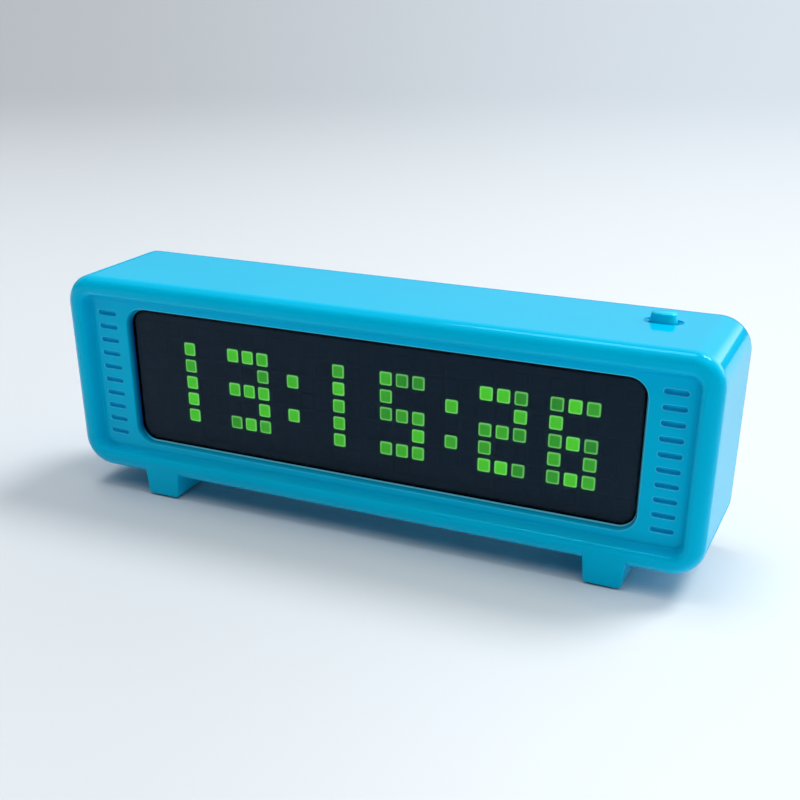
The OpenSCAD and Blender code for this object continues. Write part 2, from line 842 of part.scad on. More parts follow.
front_housing();
rear_cover();
cover_screws();
foot_pads();
window_lens();
lens_tape();
pixel_mask();
lit_pixel_tiles();
dark_pixel_tiles();
led_emitters();
led_board();
led_drivers();
led_board_screws();
board_standoffs();
main_board();
main_board_screws();
header_socket();
pin_header();
header_pins();
microcontroller();
clock_crystal();
capacitors();
cell_holder();
coin_cell();
buzzer();
usb_shell();
usb_tongue();
switch_body();
switch_plunger();
top_button();
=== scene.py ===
import json
import math
import bmesh
import bpy
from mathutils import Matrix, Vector, geometry


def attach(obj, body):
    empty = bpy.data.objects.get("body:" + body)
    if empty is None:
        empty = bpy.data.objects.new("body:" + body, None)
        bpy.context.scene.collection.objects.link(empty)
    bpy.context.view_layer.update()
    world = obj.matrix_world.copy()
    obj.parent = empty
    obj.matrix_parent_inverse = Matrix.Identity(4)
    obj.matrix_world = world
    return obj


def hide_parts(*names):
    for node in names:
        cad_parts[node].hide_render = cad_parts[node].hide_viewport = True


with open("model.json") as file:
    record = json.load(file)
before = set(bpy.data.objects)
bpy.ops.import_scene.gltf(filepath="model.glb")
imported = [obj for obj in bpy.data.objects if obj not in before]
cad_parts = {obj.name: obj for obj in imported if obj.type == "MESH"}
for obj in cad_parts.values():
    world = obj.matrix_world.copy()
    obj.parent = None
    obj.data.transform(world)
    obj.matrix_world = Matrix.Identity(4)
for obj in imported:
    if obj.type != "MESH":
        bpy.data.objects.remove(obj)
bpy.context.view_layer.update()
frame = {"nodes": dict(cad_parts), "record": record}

mm = 0.001

# sizes that several pieces share, in mm, the same as the solids
clock = dict(length=158.0, height=48.9, depth=31.0, footHeight=5.5, cornerRadius=7.3, wall=2.2,
             panelDepth=3.0, panelBack=4.8, coverBack=28.4, coverFace=30.4, windowWidth=126.4,
             windowHeight=33.3, windowRadius=3.9)
midZ = clock["footHeight"] + clock["height"] / 2
topZ = clock["footHeight"] + clock["height"]
frontY = -clock["depth"] / 2


def at(x, depth, z):  # depth counts back from the rim's face
    return Vector((x * mm, (frontY + depth) * mm, z * mm))


# outlines and lofts


def roundedPath(w, h, r, steps, x=0.0, z=0.0):  # corner centre and outward direction of each station
    path = []
    for k, (sx, sz) in enumerate(((1, 1), (-1, 1), (-1, -1), (1, -1))):
        for i in range(steps + 1):
            a = math.pi / 2 * (k + i / steps)
            path.append((x + sx * (w / 2 - r), z + sz * (h / 2 - r), math.cos(a), math.sin(a)))
    return path


def slotPath(l, w, steps, x=0.0, z=0.0):
    path = []
    for sx, start in ((1, -math.pi / 2), (-1, math.pi / 2)):
        for i in range(steps + 1):
            a = start + math.pi * i / steps
            path.append((x + sx * (l - w) / 2, z, math.cos(a), math.sin(a)))
    return path


def circlePath(steps, x=0.0, z=0.0):
    turns = [2 * math.pi * i / steps for i in range(steps)]
    return [(x, z, math.cos(a), math.sin(a)) for a in turns]


def roundCorners(points, steps=6):  # each point is (a, b, radius of its corner)
    out = []
    for i, (a, b, r) in enumerate(points):
        if r <= 0 or i in (0, len(points) - 1):
            out.append((a, b))
            continue
        p = Vector((a, b))
        u = (Vector(points[i - 1][:2]) - p).normalized()
        v = (Vector(points[i + 1][:2]) - p).normalized()
        half = u.angle(v) / 2
        centre = p + (u + v).normalized() * r / math.sin(half)
        first = p + u * r / math.tan(half) - centre
        last = p + v * r / math.tan(half) - centre
        a0 = math.atan2(first.y, first.x)
        turn = math.atan2(last.y, last.x) - a0
        turn = (turn + math.pi) % (2 * math.pi) - math.pi
        for k in range(steps + 1):
            t = a0 + turn * k / steps
            out.append((centre.x + r * math.cos(t), centre.y + r * math.sin(t)))
    return out


def frontRing(bm, path, r, depth):  # ring in a plane of equal depth
    return [bm.verts.new(at(cx + r * ux, depth, cz + r * uz)) for cx, cz, ux, uz in path]


def levelRing(bm, path, r, z):  # ring in a level plane; the path holds x and depth
    return [bm.verts.new(at(cx + r * ux, cy + r * uy, z)) for cx, cy, ux, uy in path]


def loft(bm, rings, skip=()):
    for row, (lower, upper) in enumerate(zip(rings, rings[1:])):
        n = len(lower)
        for i in range(n):
            if (row, i) not in skip:
                j = (i + 1) % n
                bm.faces.new((lower[i], lower[j], upper[j], upper[i]))


def fill(bm, loops):
    if len(loops) == 1:
        bm.faces.new(loops[0])
        return
    flat = [v for loop in loops for v in loop]
    for tri in geometry.tessellate_polygon([[v.co for v in loop] for loop in loops]):
        bm.faces.new([flat[i] for i in tri])


def lift(bm, path, profile, ringOf=frontRing):  # rings of one profile, which holds (offset, level)
    rings = [ringOf(bm, path, r, level) for r, level in profile]
    loft(bm, rings)
    return rings


def capEnds(bm, rings):  # flat faces over the first and the last ring
    for ring in (rings[0], rings[-1]):
        bm.faces.new(ring)


def fourCorners(size):  # places on both sides of the middle, below and above it
    return [(sx * size["x"], midZ + sz * size["z"]) for sx in (-1, 1) for sz in (-1, 1)]


def newMesh():  # with a layer for painted light: painted highlights on edges and painted shade in corners and hollows
    bm = bmesh.new()
    return bm, bm.verts.layers.float.new("tone")


# puts levels of painted light, painted shade or painted glow on the rings
def mark(rings, layer, paintedLevels, share=None):  # the share weighs the stations of a ring
    for ring, tone in zip(rings, paintedLevels):
        for i, v in enumerate(ring):
            v[layer] += tone * (share[i] if share else 1)


def toObject(bm, name, merge=1e-7):
    if merge:
        bmesh.ops.remove_doubles(bm, verts=bm.verts, dist=merge)
    bmesh.ops.recalc_face_normals(bm, faces=bm.faces)
    mesh = bpy.data.meshes.new(name)
    bm.to_mesh(mesh)
    bm.free()
    obj = bpy.data.objects.new(name, mesh)
    bpy.context.scene.collection.objects.link(obj)
    return obj


def settle(obj):  # turns the evaluated object into a plain mesh
    bpy.context.view_layer.update()
    mesh = bpy.data.meshes.new_from_object(obj.evaluated_get(bpy.context.evaluated_depsgraph_get()))
    mesh.name = obj.name
    obj.modifiers.clear()
    obj.data = mesh
    return obj


def smooth(obj, angle=40, weight=80):  # smooth faces, large faces keep their own direction
    obj.data.shade_smooth()
    obj.data.set_sharp_from_angle(angle=math.radians(angle))
    mod = obj.modifiers.new("weighted", "WEIGHTED_NORMAL")
    mod.weight = weight
    mod.keep_sharp = True
    return settle(obj)


def cutOrJoin(obj, tool, operation):
    mod = obj.modifiers.new("shape", "BOOLEAN")
    mod.operation = operation
    mod.solver = "EXACT"
    mod.use_self = True
    mod.object = tool
    settle(obj)
    bpy.data.objects.remove(tool)
    return obj


# node helpers

upright = (math.radians(90), 0, 0)


def addNode(tree, kind, place=(0, 0), **values):
    node = tree.nodes.new(kind)
    node.location = place
    for key, value in values.items():
        setattr(node, key, value)
    return node


def plug(tree, node, terms):  # each term is a socket or a plain value
    for key, term in terms.items():
        if isinstance(term, bpy.types.NodeSocket):
            tree.links.new(term, node.inputs[key])
        else:
            node.inputs[key].default_value = term


def feed(tree, kind, place, terms, **values):  # the outputs of a new node
    node = addNode(tree, kind, place, **values)
    plug(tree, node, terms)
    return node.outputs


def mathNode(tree, operation, first, second):
    return feed(tree, "ShaderNodeMath", (0, 0), {0: first, 1: second}, operation=operation)[0]


def vectorNode(tree, operation, first, second=(0, 0, 0)):
    made = feed(tree, "ShaderNodeVectorMath", (0, 0), {0: first, 1: second}, operation=operation)
    return made["Value" if operation in ("LENGTH", "DOT_PRODUCT") else "Vector"]


def rangeOf(tree, value, fromMin, fromMax, toMin, toMax, kind="LINEAR"):
    terms = {"Value": value, "From Min": fromMin, "From Max": fromMax, "To Min": toMin, "To Max": toMax}
    return feed(tree, "ShaderNodeMapRange", (-600, 0), terms, interpolation_type=kind)["Result"]


def colourRamp(tree, value, stops):
    node = addNode(tree, "ShaderNodeValToRGB", (-600, 200))
    marks = node.color_ramp.elements
    while len(marks) < len(stops):
        marks.new(0.5)
    for mark, (place, colour) in zip(marks, stops):
        mark.position = place
        mark.color = (*colour, 1)
    plug(tree, node, {"Fac": value})
    return node.outputs["Color"]


def mixColours(tree, factor, first, second):
    ends = [(*term, 1) if isinstance(term, tuple) else term for term in (first, second)]
    return feed(tree, "ShaderNodeMix", (-300, 200), {"Factor": factor, 6: ends[0], 7: ends[1]},
                data_type="RGBA")[2]


# materials

noiseSpan = (0.3, 0.7)    # most of a noise lies in this range


def newMaterial(name):
    mat = bpy.data.materials.new(name)
    mat.use_nodes = True
    tree = mat.node_tree
    coords = addNode(tree, "ShaderNodeTexCoord", (-1300, 0))
    return mat, tree, tree.nodes["Principled BSDF"], coords.outputs["Object"]


def noiseAt(tree, coords, scale, detail=3.0, rough=0.55):
    terms = {"Vector": coords, "Scale": scale, "Detail": detail, "Roughness": rough}
    return feed(tree, "ShaderNodeTexNoise", (-1000, 0), terms)["Fac"]


def spread(tree, value, limits):  # noise over a range
    return rangeOf(tree, value, *noiseSpan, *limits)


def between(tree, value, dark, light):  # noise between two colours
    return colourRamp(tree, value, list(zip(noiseSpan, (dark, light))))


def attributeOf(tree, name, height):
    return addNode(tree, "ShaderNodeAttribute", (-1000, height), attribute_name=name).outputs["Fac"]


def bumpOf(tree, value, distance, strength=0.5):
    terms = {"Height": value, "Distance": distance, "Strength": strength}
    return feed(tree, "ShaderNodeBump", (-300, -300), terms)["Normal"]


# edge and the cap's edge colour are painted highlight colours and shade is the painted shade colour, mixed in
# by the tone layer
bluePlastic = dict(dark=(0.0, 0.545, 0.855), light=(0.0, 0.565, 0.88), edge=(0.2, 0.78, 1.0),
                   shade=(0.0, 0.06, 0.25), capPaintedHighlight=(0.0, 0.8, 1.0), rough=(0.06, 0.09), ior=1.42,
                   specular=(0.03, 0.6, 1.0), grazing=(0.66, 0.92), level=(0.5, 0.0), hollow=(-0.5, 0.0),
                   flowScale=35, hazeScale=140, peelScale=900, peelDepth=0.00001, peelShare=0.2)


def makeBlue(name, edge):
    mat, tree, shader, coords = newMaterial(name)
    b = bluePlastic
    flow = noiseAt(tree, coords, b["flowScale"], detail=2)    # slow colour drift of the moulding
    haze = noiseAt(tree, coords, b["hazeScale"], detail=4)    # handling haze in the gloss
    peel = noiseAt(tree, coords, b["peelScale"], detail=2)
    drift = between(tree, flow, b["dark"], b["light"])
    # painted light: a negative tone mixes in the painted shade colour, a positive tone the painted highlight
    # colour
    tone = attributeOf(tree, "tone", 500)
    paintedShaded = mixColours(tree, rangeOf(tree, tone, 0, -1, 0, 1), drift, b["shade"])
    paintedHighlit = mixColours(tree, rangeOf(tree, tone, 0, 1, 0, 1), paintedShaded, edge)
    # hazed gloss fades where it is seen edge on, and it also fades where the tone paints shade, as painted
    # shade on the reflection
    facing = addNode(tree, "ShaderNodeLayerWeight", (-900, -300)).outputs["Facing"]
    level = rangeOf(tree, facing, *b["grazing"], *b["level"], "SMOOTHSTEP")
    glossUnderPaintedShade = rangeOf(tree, tone, *b["hollow"], 0, 1)
    plug(tree, shader, {"Base Color": paintedHighlit, "Roughness": spread(tree, haze, b["rough"]), "IOR": b["ior"],
                        "Normal": bumpOf(tree, peel, b["peelDepth"], b["peelShare"]),
                        "Specular IOR Level": mathNode(tree, "MULTIPLY", level, glossUnderPaintedShade),
                        "Specular Tint": (*b["specular"], 1)})
    return mat


smokedSheet = dict(dark=(0.0004, 0.0009, 0.0018), light=(0.0006, 0.0012, 0.0022), alpha=0.6, ior=1.5,
                   specular=(0.32, 0.62, 1.0), rough=(0.05, 0.1), hazeScale=60, toneScale=18,
                   border=(0.85, 0.45), gloss=(0.5, 0.1))


def makeSmoke():
    mat, tree, shader, coords = newMaterial("smokedAcrylic")
    s = smokedSheet
    haze = noiseAt(tree, coords, s["hazeScale"], detail=3)
    tone = noiseAt(tree, coords, s["toneScale"], detail=1)
    # the sheet's gloss fades along the window's edge, so a darker band shows there
    r = clock["windowRadius"]
    middle = ((clock["windowWidth"] / 2 - r) * mm, 0, (clock["windowHeight"] / 2 - r) * mm)
    flat = vectorNode(tree, "MULTIPLY", vectorNode(tree, "SUBTRACT", coords, (0, 0, midZ * mm)), (1, 0, 1))
    past = vectorNode(tree, "SUBTRACT", vectorNode(tree, "ABSOLUTE", flat), middle)
    reach = vectorNode(tree, "LENGTH", vectorNode(tree, "MAXIMUM", past))
    near, far = ((r - d) * mm for d in s["border"])
    plug(tree, shader, {"Base Color": between(tree, tone, s["dark"], s["light"]),
                        "Roughness": spread(tree, haze, s["rough"]), "Alpha": s["alpha"], "IOR": s["ior"],
                        "Specular Tint": (*s["specular"], 1),
                        "Specular IOR Level": rangeOf(tree, reach, near, far, *s["gloss"], "SMOOTHSTEP")})
    return mat


litGuide = dict(low=(0.033, 0.39, 0.006), high=(0.12, 0.99, 0.011), edge=(0.33, 0.95, 0.28), edgeShare=0.5,
                strength=3.4, grain=(0.94, 1.06), edgeGain=1.15, sideShare=0.06, grainScale=700,
                base=(0.02, 0.08, 0.02), rough=0.4)


def makeLit():
    mat, tree, shader, coords = newMaterial("litGuide")
    g = litGuide
    glow, rim, front = (attributeOf(tree, name, y) for name, y in
                        (("glow", 300), ("rim", 500), ("front", 700)))
    grain = noiseAt(tree, coords, g["grainScale"], detail=3)
    core = colourRamp(tree, glow, [(0.0, g["low"]), (1.0, g["high"])])
    share = rangeOf(tree, rim, 0, 1, 0, g["edgeShare"])
    level = spread(tree, grain, [g["strength"] * k for k in g["grain"]])
    gain = rangeOf(tree, rim, 0, 1, 1, g["edgeGain"])
    dim = rangeOf(tree, front, 0, 1, g["sideShare"], 1)    # the sides stay dim
    glowing = mathNode(tree, "MULTIPLY", mathNode(tree, "MULTIPLY", level, gain), dim)
    plug(tree, shader, {"Emission Color": mixColours(tree, share, core, g["edge"]),
                        "Emission Strength": glowing, "Base Color": (*g["base"], 1), "Roughness": g["rough"]})
    return mat


def makeGrained(name, dark, light, scale, rough, depth=0.0, metallic=0.0, stretch=None, gloss=0.5):
    mat, tree, shader, coords = newMaterial(name)
    if stretch:
        coords = feed(tree, "ShaderNodeMapping", (-1150, 0), {"Vector": coords, "Scale": stretch})["Vector"]
    grain = noiseAt(tree, coords, scale, detail=4)
    plug(tree, shader, {"Base Color": between(tree, grain, dark, light), "Metallic": metallic,
                        "Roughness": spread(tree, grain, rough), "Specular IOR Level": gloss})
    if depth:
        plug(tree, shader, {"Normal": bumpOf(tree, grain, depth)})
    return mat


maskBlack = dict(dark=(0.002, 0.003, 0.003), light=(0.003, 0.004, 0.004), scale=3000, rough=(0.8, 0.95),
                 depth=0.00001, gloss=0.0)
paintedGlowColour = (0.015, 0.3, 0.02)


def makeMaskBlack():  # cells next to a lit guide glow a little: painted light from the guide, emitted by the mask itself
    mat = makeGrained("maskBlack", **maskBlack)
    tree = mat.node_tree
    shader = tree.nodes["Principled BSDF"]
    paintedGlow = mathNode(tree, "MULTIPLY", attributeOf(tree, "leak", 400), attributeOf(tree, "mouth", 600))
    plug(tree, shader, {"Emission Strength": paintedGlow, "Emission Color": (*paintedGlowColour, 1)})
    return mat


laminate = dict(scale=420, trackWidth=0.035, first=(0.006, 0.07, 0.032), second=(0.008, 0.085, 0.04),
                track=(0.015, 0.13, 0.06), grainScale=500, rough=(0.28, 0.42))


def makeLaminate():  # solder resist over copper tracks
    mat, tree, shader, coords = newMaterial("boardLaminate")
    v = laminate
    turned = feed(tree, "ShaderNodeMapping", (-1150, 0), {"Vector": coords, "Rotation": upright})
    tracks = feed(tree, "ShaderNodeTexBrick", (-1000, 0), {
        "Vector": turned["Vector"], "Scale": v["scale"], "Mortar Size": v["trackWidth"],
        "Color1": (*v["first"], 1), "Color2": (*v["second"], 1), "Mortar": (*v["track"], 1)})
    grain = noiseAt(tree, coords, v["grainScale"])
    plug(tree, shader, {"Base Color": tracks["Color"], "Roughness": spread(tree, grain, v["rough"])})
    return mat


slots = {
    "blue_plastic": makeBlue("bluePlastic", bluePlastic["edge"]),
    "smoked_acrylic": makeSmoke(),
    "lit_guide": makeLit(),
    "board_laminate": makeLaminate(),
    "black_tape": makeGrained("blackTape", (0.008, 0.008, 0.01), (0.016, 0.016, 0.018), scale=2500,
                              rough=(0.75, 0.95), depth=0.00002),
    "mask_black": makeMaskBlack(),
    "dark_guide": makeGrained("darkGuide", (0.002, 0.003, 0.003), (0.003, 0.004, 0.004), scale=900,
                              rough=(0.75, 0.9), gloss=0.0),
    "emitter_white": makeGrained("emitterWhite", (0.7, 0.7, 0.66), (0.82, 0.82, 0.78), scale=800,
                                 rough=(0.3, 0.45)),
    "chip_black": makeGrained("chipBlack", (0.01, 0.01, 0.011), (0.02, 0.02, 0.022), scale=3500,
                              rough=(0.5, 0.7), depth=0.00001),
    "screw_steel": makeGrained("screwSteel", (0.42, 0.42, 0.44), (0.6, 0.6, 0.61), scale=1500,
                               rough=(0.25, 0.42), depth=0.000006, metallic=1.0),
    "plated_steel": makeGrained("platedSteel", (0.55, 0.55, 0.56), (0.68, 0.68, 0.68), scale=1200,
                                rough=(0.2, 0.34), depth=0.000004, metallic=1.0, stretch=(1, 0.08, 1)),
    "plated_brass": makeGrained("platedBrass", (0.66, 0.46, 0.17), (0.8, 0.6, 0.26), scale=1200,
                                rough=(0.22, 0.36), metallic=1.0),
    "pad_rubber": makeGrained("padRubber", (0.012, 0.012, 0.013), (0.028, 0.028, 0.03), scale=2600,
                              rough=(0.7, 0.92), depth=0.00003),
}
# the cap has its own painted highlight colour, for its bright right end
capPlastic = makeBlue("capPlastic", bluePlastic["capPaintedHighlight"])
print("materials made:", len(slots) + 1)


def finishPiece(obj, slot, body, *nodes, finish=None):
    obj.data.materials.clear()
    obj.data.materials.append(finish or slots[slot])
    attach(obj, body)
    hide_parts(*nodes)
    return obj


# what repeats: columns of slots, a field of tiles, the mask's cells, a set of screws

tileCornerSteps, weldDistance = 3, 0.000001


def newTree(name, sizes):  # geometry tree with named inputs
    tree = bpy.data.node_groups.new(name, "GeometryNodeTree")
    for label, kind in {"Geometry": "Geometry", **sizes}.items():
        tree.interface.new_socket(label, in_out="INPUT", socket_type="NodeSocket" + kind)
    tree.interface.new_socket("Geometry", in_out="OUTPUT", socket_type="NodeSocketGeometry")
    return tree, addNode(tree, "NodeGroupInput", (-1200, 0)).outputs


def endTree(tree, copies, material):  # realized and painted, at the tree's end
    plain = feed(tree, "GeometryNodeRealizeInstances", (600, 0), {0: copies})
    paint = feed(tree, "GeometryNodeSetMaterial", (850, 0), {"Geometry": plain[0], "Material": material})
    feed(tree, "NodeGroupOutput", (1200, 0), {0: paint[0]})
    return tree


def runTree(obj, tree, values):
    mod = obj.modifiers.new(tree.name, "NODES")
    mod.node_group = tree
    ids = {s.name: s.identifier for s in tree.interface.items_tree if s.in_out == "INPUT"}
    for label, value in values.items():
        mod[ids[label]] = value
    return settle(obj)


def joinParts(tree, place, *parts):
    node = addNode(tree, "GeometryNodeJoinGeometry", place)
    for part in parts:
        tree.links.new(part, node.inputs[0])
    return node.outputs[0]


def storeValue(tree, place, name, geometry, value, domain):  # a named value for the material
    terms = {"Name": name, "Geometry": geometry, "Value": value}
    return feed(tree, "GeometryNodeStoreNamedAttribute", place, terms, data_type="FLOAT", domain=domain)[0]


def makeSlotTree():
    tree, given = newTree("slotColumns", {
        "Count": "Int", "Pitch": "Float", "Reach": "Float", "Mirrored": "Bool"})
    up = feed(tree, "ShaderNodeCombineXYZ", (-950, -200), {"Z": given["Pitch"]})
    steps = mathNode(tree, "SUBTRACT", given["Count"], 1)
    low = mathNode(tree, "MULTIPLY", mathNode(tree, "MULTIPLY", steps, given["Pitch"]), -0.5)
    first = feed(tree, "ShaderNodeCombineXYZ", (-650, -300), {"X": given["Reach"], "Z": low})
    line = feed(tree, "GeometryNodeMeshLine", (-700, 0), {
        "Count": given["Count"], "Start Location": first[0], "Offset": up[0]}, mode="OFFSET")
    across = mathNode(tree, "MULTIPLY", given["Reach"], -2)
    shift = feed(tree, "ShaderNodeCombineXYZ", (-500, -400), {"X": across})
    other = feed(tree, "GeometryNodeTransform", (-350, -200), {"Geometry": line[0], "Translation": shift[0]})
    both = joinParts(tree, (-150, 0), other[0], line[0])
    pick = feed(tree, "GeometryNodeSwitch", (50, 0), {
        "Switch": given["Mirrored"], "False": line[0], "True": both}, input_type="GEOMETRY")
    copies = feed(tree, "GeometryNodeInstanceOnPoints", (300, 0), {
        "Points": pick[0], "Instance": given["Geometry"]})
    return endTree(tree, copies[0], slots["blue_plastic"])


def makeTileTree():
    tree, given = newTree("pixelField", {
        "Width": "Float", "Height": "Float", "Depth": "Float", "Corner": "Float", "Edge": "Float",
        "Face Share": "Float", "Seed": "Int", "Finish": "Material"})
    outline = feed(tree, "GeometryNodeCurvePrimitiveQuadrilateral", (-950, 0), {
        "Width": given["Width"], "Height": given["Height"]})
    corners = feed(tree, "GeometryNodeFilletCurve", (-750, 0), {
        "Curve": outline[0], "Count": tileCornerSteps, "Radius": given["Corner"]}, mode="POLY")
    sheet = feed(tree, "GeometryNodeFillCurve", (-550, 0), {"Curve": corners[0]}, mode="NGONS")
    straight = mathNode(tree, "SUBTRACT", given["Depth"], given["Edge"])
    body = feed(tree, "GeometryNodeExtrudeMesh", (-350, 0), {
        "Mesh": sheet[0], "Offset Scale": straight, "Individual": False}, mode="FACES")
    lip = feed(tree, "GeometryNodeExtrudeMesh", (-150, 0), {
        "Mesh": body["Mesh"], "Selection": body["Top"], "Offset Scale": given["Edge"], "Individual": False},
        mode="FACES")
    rimmed = storeValue(tree, (-50, 200), "rim", lip["Mesh"], lip["Side"], "FACE")
    ahead = feed(tree, "FunctionNodeBooleanMath", (-50, 400), {0: lip["Top"], 1: lip["Side"]}, operation="OR")
    fronted = storeValue(tree, (0, 200), "front", rimmed, ahead[0], "FACE")
    face = feed(tree, "GeometryNodeScaleElements", (50, 0), {
        "Geometry": fronted, "Selection": lip["Top"], "Scale": given["Face Share"]}, domain="FACE")
    under = feed(tree, "GeometryNodeFlipFaces", (-150, -250), {"Mesh": sheet[0]})
    closed = joinParts(tree, (250, 0), under[0], face[0])
    weld = feed(tree, "GeometryNodeMergeByDistance", (400, 0), {"Geometry": closed, "Distance": weldDistance})
    stand = feed(tree, "GeometryNodeTransform", (550, 0), {"Geometry": weld[0], "Rotation": upright})
    copies = feed(tree, "GeometryNodeInstanceOnPoints", (700, 0), {
        "Points": given["Geometry"], "Instance": stand[0]})
    chance = feed(tree, "FunctionNodeRandomValue", (700, -300), {"Seed": given["Seed"]}, data_type="FLOAT")
    glowing = storeValue(tree, (850, 0), "glow", copies[0], chance[1], "INSTANCE")
    return endTree(tree, glowing, given["Finish"])


def makeCellTree():
    tree, given = newTree("maskCells", {"Cell": "Object", "Leak": "Float"})
    cell = feed(tree, "GeometryNodeObjectInfo", (-600, -200), {"Object": given["Cell"]})
    copies = feed(tree, "GeometryNodeInstanceOnPoints", (-200, 0), {
        "Points": given["Geometry"], "Instance": cell["Geometry"]})
    leaking = storeValue(tree, (200, 0), "leak", copies[0], given["Leak"], "INSTANCE")
    return endTree(tree, leaking, slots["mask_black"])


def makeScrewTree():
    tree, given = newTree("screwSet", {
        "Span X": "Float", "Span Z": "Float", "Height": "Float", "Seed": "Int"})
    grid = feed(tree, "GeometryNodeMeshGrid", (-800, 0), {
        "Vertices X": 2, "Vertices Y": 2, "Size X": given["Span X"], "Size Y": given["Span Z"]})
    rise = feed(tree, "ShaderNodeCombineXYZ", (-800, -250), {"Z": given["Height"]})
    stand = feed(tree, "GeometryNodeTransform", (-550, 0), {
        "Geometry": grid["Mesh"], "Translation": rise[0], "Rotation": upright})
    chance = feed(tree, "FunctionNodeRandomValue", (-550, -300), {
        "Seed": given["Seed"], 3: math.radians(90)}, data_type="FLOAT")
    turn = feed(tree, "ShaderNodeCombineXYZ", (-350, -300), {"Y": chance[1]})
    copies = feed(tree, "GeometryNodeInstanceOnPoints", (-150, 0), {
        "Points": stand[0], "Instance": given["Geometry"], "Rotation": turn[0]})
    return endTree(tree, copies[0], slots["screw_steel"])


slotTree = makeSlotTree()
tileTree = makeTileTree()
cellTree = makeCellTree()
screwTree = makeScrewTree()
print("geometry trees made")


# front housing

# the light level is a painted highlight along the front fillet; the dark levels are painted shade in the
# recess's inner corner and a painted dark line on the rear round
rim = dict(width=4.25, lean=1.1, outerRound=2.8, innerRound=1.4, footRound=0.4, rearRound=1.4, lipRound=0.25,
           insideRound=0.6, steps=16, edgeSteps=8, start=1.0, rearStep=0.6, frontStep=0.2, longRow=15,
           light=0.5, paintedHighlightPlace=0.8, paintedHighlightReach=0.45, dark=-0.15, paintedShadeReach=0.3, rearPaintedShade=-0.4,
           rearPaintedShadeReach=0.75)
# the window's tones are painted light: painted highlights on its front edge and at the lens, and painted
# shade down its walls, darkest on the left wall
window = dict(lean=0.6, edge=0.3, lead=2, deep=(4.2, 4.35), steps=12, edgeSteps=4,
              paintedLevels=(0, 0.15, 0.2, 0.15, 0, -0.45, 0.9, 0.9),
              leftPaintedShade=(0, 0, -0.05, -0.1, -0.2, -0.8, -0.9, -1),
              upperPaintedHighlight=(0, 0.25, 0.4, 0.25, 0, 0, 0, 0))
# the groove's tones are a painted highlight along its lip
groove = dict(count=10, pitch=3.4, length=5.1, width=1.2, depth=1.0, reach=69.2, lip=0.2, floorRound=0.5,
              lead=1, steps=10, edgeSteps=4, paintedLevels=(0, 0.3, 0.42, 0.3, 0))
# the cap's end light is a painted highlight on its right end, and the dish's tones paint a lighter lip and
# painted shade in the hollow
button = dict(x=61.7, depth=20.0, capLength=5.9, capDepth=3.6, capCorner=1.75, proud=2.0, draft=0.32,
              edge=0.5, waist=0.3, crown=0.1, crownStart=0.3, gap=0.2, steps=8, edgeSteps=7, endPaintedHighlight=0.85,
              dishLength=8.7, dishDepth=4.4, dishDeep=0.8, dishLip=0.15, dishSteps=12,
              dishEdge=((1, 0), (0.3, 0.1), (0, 0.35), (0, 1)), dishRows=(0.33, 0.67, 1),
              dishPaintedLight=(0, 0.4, -0.1, -0.4, -0.4, -0.4, -0.4, -0.4), flangeLength=10.7, flangeDepth=6.4,
              flangeCorner=1.5, flangeTop=52.0, flangeThick=1.0, stemRadius=1.4, stemLow=50.3)
post = dict(x=72.37, z=17.82, radius=3.2, bore=1.45, boreDepth=10.4)
boss = dict(x=67.2, z=12.5, radius=2.2, bore=1.0, end=9.15, boreDepth=3.95)
stump = dict(bevel=0.2, steps=28)    # posts and bosses
# the foot's tones are a painted highlight on its front edges
foot = dict(span=113.6, shift=1.3, topWidth=9.3, lowWidth=8.5, length=27.0, edge=0.9, root=0.8, endRound=0.4,
            lift=0.4, face=0.03, overlap=0.02, widen=1.1, steps=5, edgeSteps=6, frontFlare=0.15,
            flareFrom=2.0, flareTo=3.2, stepBack=4.2, frontTop=3.4, rearTop=1.1,
            paintedLevels=(0, 0.3, 0.5, 0.5, 0.3, 0))
pad = dict(width=5.0, length=22.0, seat=0.6, gap=0.05, edge=0.25, below=1, steps=14, edgeSteps=4)


def addColumns(bm, cup, count, pitch, reach, mirrored):  # the tree repeats one slot, and the mesh takes it in
    obj = runTree(toObject(cup, "slotCopies"), slotTree,
                  {"Count": count, "Pitch": pitch * mm, "Reach": reach * mm, "Mirrored": mirrored})
    bm.from_mesh(obj.data)
    bpy.data.objects.remove(obj)


def columnHeights(size):
    return [midZ + (i - (size["count"] - 1) / 2) * size["pitch"] for i in range(size["count"])]


